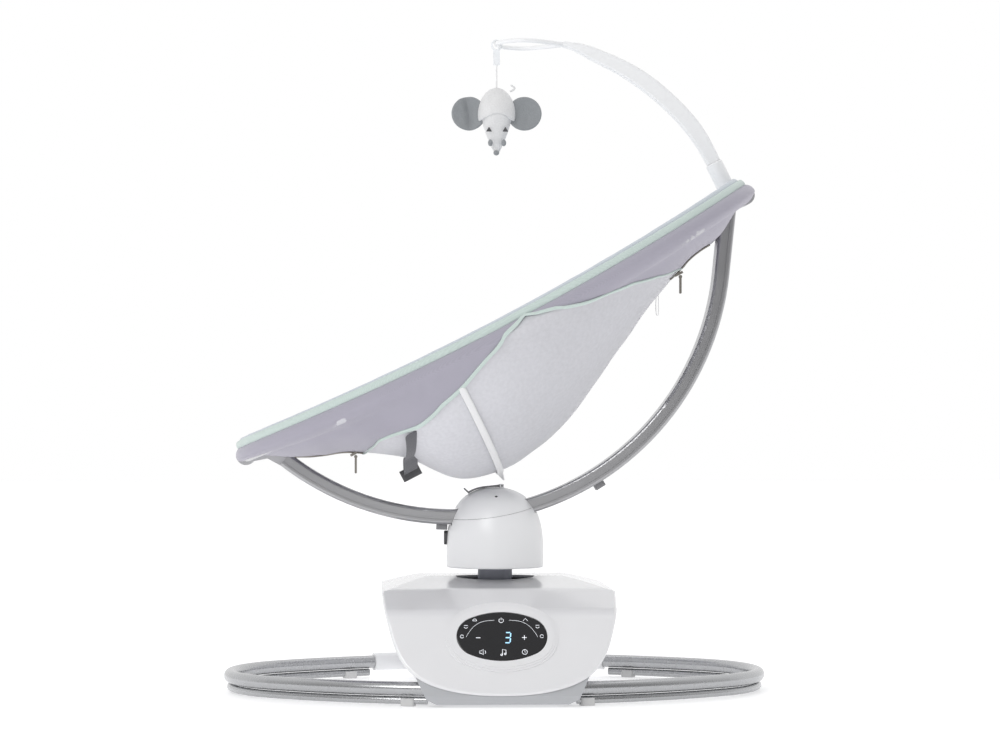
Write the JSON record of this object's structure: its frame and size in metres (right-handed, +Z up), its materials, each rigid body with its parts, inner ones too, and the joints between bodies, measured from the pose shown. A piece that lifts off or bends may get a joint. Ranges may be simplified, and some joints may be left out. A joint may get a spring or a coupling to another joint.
{
  "type": "baby swing",
  "caption": "Electric baby swing: oval tube base, motor housing with touch panel, lifting pod, curved reclining rail, hammock seat and toy bar.",
  "frame": {"origin": "on the floor, under the middle of the whole swing's box, the base ring's centre", "axes": "+Z up, +X to the head end, +Y to the back, away from the control panel"},
  "size_m": [0.6478, 0.4141, 0.7808],
  "materials": {
    "ring_metal": "satin",
    "rail_metal": "satin extruded",
    "white_plastic": "satin moulded",
    "gloss_white": "gloss moulded",
    "grey_white": "satin moulded",
    "clear_grip": "frosted",
    "panel_black": "gloss",
    "circuit_board": "solder mask",
    "inner_plastic": "moulded",
    "steel": "ground",
    "motor_metal": "zinc plated",
    "inner_black": "moulded",
    "nylon": "natural nylon",
    "bronze": "sintered",
    "neck_grey": "satin moulded",
    "lever_grey": "satin moulded",
    "dark_plastic": "satin moulded",
    "roller_rubber": "matt",
    "stop_grey": "satin moulded",
    "bracket_grey": "satin",
    "mesh_white": "knitted mesh",
    "lavender_fabric": "smooth plain weave",
    "liner_fabric": "soft knit, padded",
    "webbing_grey": "woven webbing",
    "tag_fabric": "satin ribbon",
    "zip_grey": "satin",
    "clip_white": "translucent",
    "string_white": "twisted",
    "plush_white": "short plush",
    "plush_grey": "short plush"
  },
  "bodies": {
    "base": {"base_ring": "ring_metal", "lower_ring": "ring_metal", "ring_sockets": "white_plastic", "ring_feet": "clear_grip", "housing_cover": "gloss_white", "base_tray": "grey_white", "panel_bezel": "gloss_white", "panel_lens": "panel_black", "panel_board": "circuit_board", "chassis": "inner_plastic", "guide_rods": "steel", "sway_motor": "motor_metal", "main_board": "circuit_board", "speaker": "inner_black", "power_jack": "inner_black", "chassis_screws": "steel"},
    "pinion": {"sway_pinion": "nylon"},
    "carriage": {"carriage": "inner_plastic", "slide_bushes": "bronze", "sway_rack": "nylon", "lift_motor": "motor_metal"},
    "screw": {"lift_screw": "steel"},
    "pod": {"lift_nut": "bronze", "neck_column": "neck_grey", "pod_lower": "white_plastic", "pod_cap": "white_plastic", "sound_sensor": "inner_black", "rail_cradle": "inner_plastic", "roller_pins": "steel"},
    "recline_lever": {"recline_lever": "lever_grey"},
    "release_button": {"release_button": "dark_plastic"},
    "load_roller_foot": {"load_roller_foot": "roller_rubber"},
    "load_roller_head": {"load_roller_head": "roller_rubber"},
    "hold_roller": {"hold_roller": "roller_rubber"},
    "seat": {"rail": "rail_metal", "rail_stops": "stop_grey", "hoop_head": "ring_metal", "hoop_foot": "ring_metal", "hoop_couplers": "inner_plastic", "toy_bar_collar": "white_plastic", "head_bracket": "bracket_grey", "foot_bracket": "bracket_grey", "mesh_sling": "mesh_white", "foot_panel": "lavender_fabric", "head_panel": "lavender_fabric", "liner_pad": "liner_fabric", "harness_straps": "webbing_grey", "harness_buckle": "dark_plastic", "under_strap": "webbing_grey", "under_buckle": "dark_plastic", "ribbon_tag": "tag_fabric", "zip_sliders": "zip_grey"},
    "buckle_button": {"buckle_button": "lever_grey"},
    "zip_pull_foot": {"zip_pull_foot": "zip_grey"},
    "zip_pull_head": {"zip_pull_head": "zip_grey"},
    "toy_bar": {"toy_bar": "white_plastic"},
    "toy": {"toy_clip": "clip_white", "toy_string": "string_white", "toy_head": "plush_white", "toy_ears": "plush_grey"}
  },
  "joints": [
    {"name": "sway", "type": "slide", "parent": "base", "child": "carriage", "axis": [1, 0, 0], "range_m": [-0.024, 0.024]},
    {"name": "pinion_spin", "type": "hinge", "parent": "base", "child": "pinion", "pos_m": [0, 0.07325, 0.06], "axis": [0, 0, 1], "range_deg": [-125, 125]},
    {"name": "lift", "type": "slide", "parent": "carriage", "child": "pod", "axis": [0, 0, 1], "range_m": [0, 0.03]},
    {"name": "screw_spin", "type": "hinge", "parent": "carriage", "child": "screw", "pos_m": [0, 0, 0.09], "axis": [0, 0, 1], "range_deg": [0, 900]},
    {"name": "recline", "type": "hinge", "parent": "pod", "child": "seat", "pos_m": [-0.051, 0, 0.533], "axis": [0, 1, 0], "range_deg": [0, 12]},
    {"name": "load_roller_foot_spin", "type": "hinge", "parent": "pod", "child": "load_roller_foot", "pos_m": [-0.03064, 0, 0.1903], "axis": [0, 1, 0], "range_deg": [-460, 30]},
    {"name": "load_roller_head_spin", "type": "hinge", "parent": "pod", "child": "load_roller_head", "pos_m": [0.02972, 0, 0.19933], "axis": [0, 1, 0], "range_deg": [-460, 30]},
    {"name": "hold_roller_spin", "type": "hinge", "parent": "pod", "child": "hold_roller", "pos_m": [0.00003, 0, 0.22804], "axis": [0, 1, 0], "range_deg": [-30, 600]},
    {"name": "lever_lift", "type": "hinge", "parent": "pod", "child": "recline_lever", "pos_m": [0.008, 0, 0.2452], "axis": [0, 1, 0], "range_deg": [0, 10], "stiffness_Nm_per_rad": 0.15, "springref_deg": -11.46},
    {"name": "button_press", "type": "slide", "parent": "pod", "child": "release_button", "axis": [1, 0, 0], "range_m": [0, 0.002], "stiffness_N_per_m": 400, "springref_m": -0.001},
    {"name": "buckle_press", "type": "slide", "parent": "seat", "child": "buckle_button", "axis": [0.4633, 0, -0.8862], "range_m": [0, 0.0025], "stiffness_N_per_m": 400, "springref_m": -0.001},
    {"name": "zip_foot_swing", "type": "hinge", "parent": "seat", "child": "zip_pull_foot", "pos_m": [-0.16657, -0.03, 0.28032], "axis": [0, 1, 0], "range_deg": [-35, 35]},
    {"name": "zip_head_swing", "type": "hinge", "parent": "seat", "child": "zip_pull_head", "pos_m": [0.21658, -0.06, 0.49281], "axis": [0, 1, 0], "range_deg": [-35, 35]},
    {"name": "toy_bar_swivel", "type": "hinge", "parent": "seat", "child": "toy_bar", "pos_m": [0.2755, 0, 0.611], "axis": [-0.45, 0, 0.893], "range_deg": [-75, 75]},
    {"name": "toy_swing", "type": "hinge", "parent": "toy_bar", "child": "toy", "pos_m": [0.002, 0, 0.774], "axis": [0, 1, 0], "range_deg": [-30, 30]}
  ],
  "couplings": [
    {"joint": "pinion_spin", "follows": "sway", "rad_per_m": 88.889},
    {"joint": "screw_spin", "follows": "lift", "rad_per_m": 523.6},
    {"joint": "load_roller_foot_spin", "follows": "recline", "ratio": -37.111},
    {"joint": "load_roller_head_spin", "follows": "recline", "ratio": -37.111},
    {"joint": "hold_roller_spin", "follows": "recline", "ratio": 48.615}
  ]
}
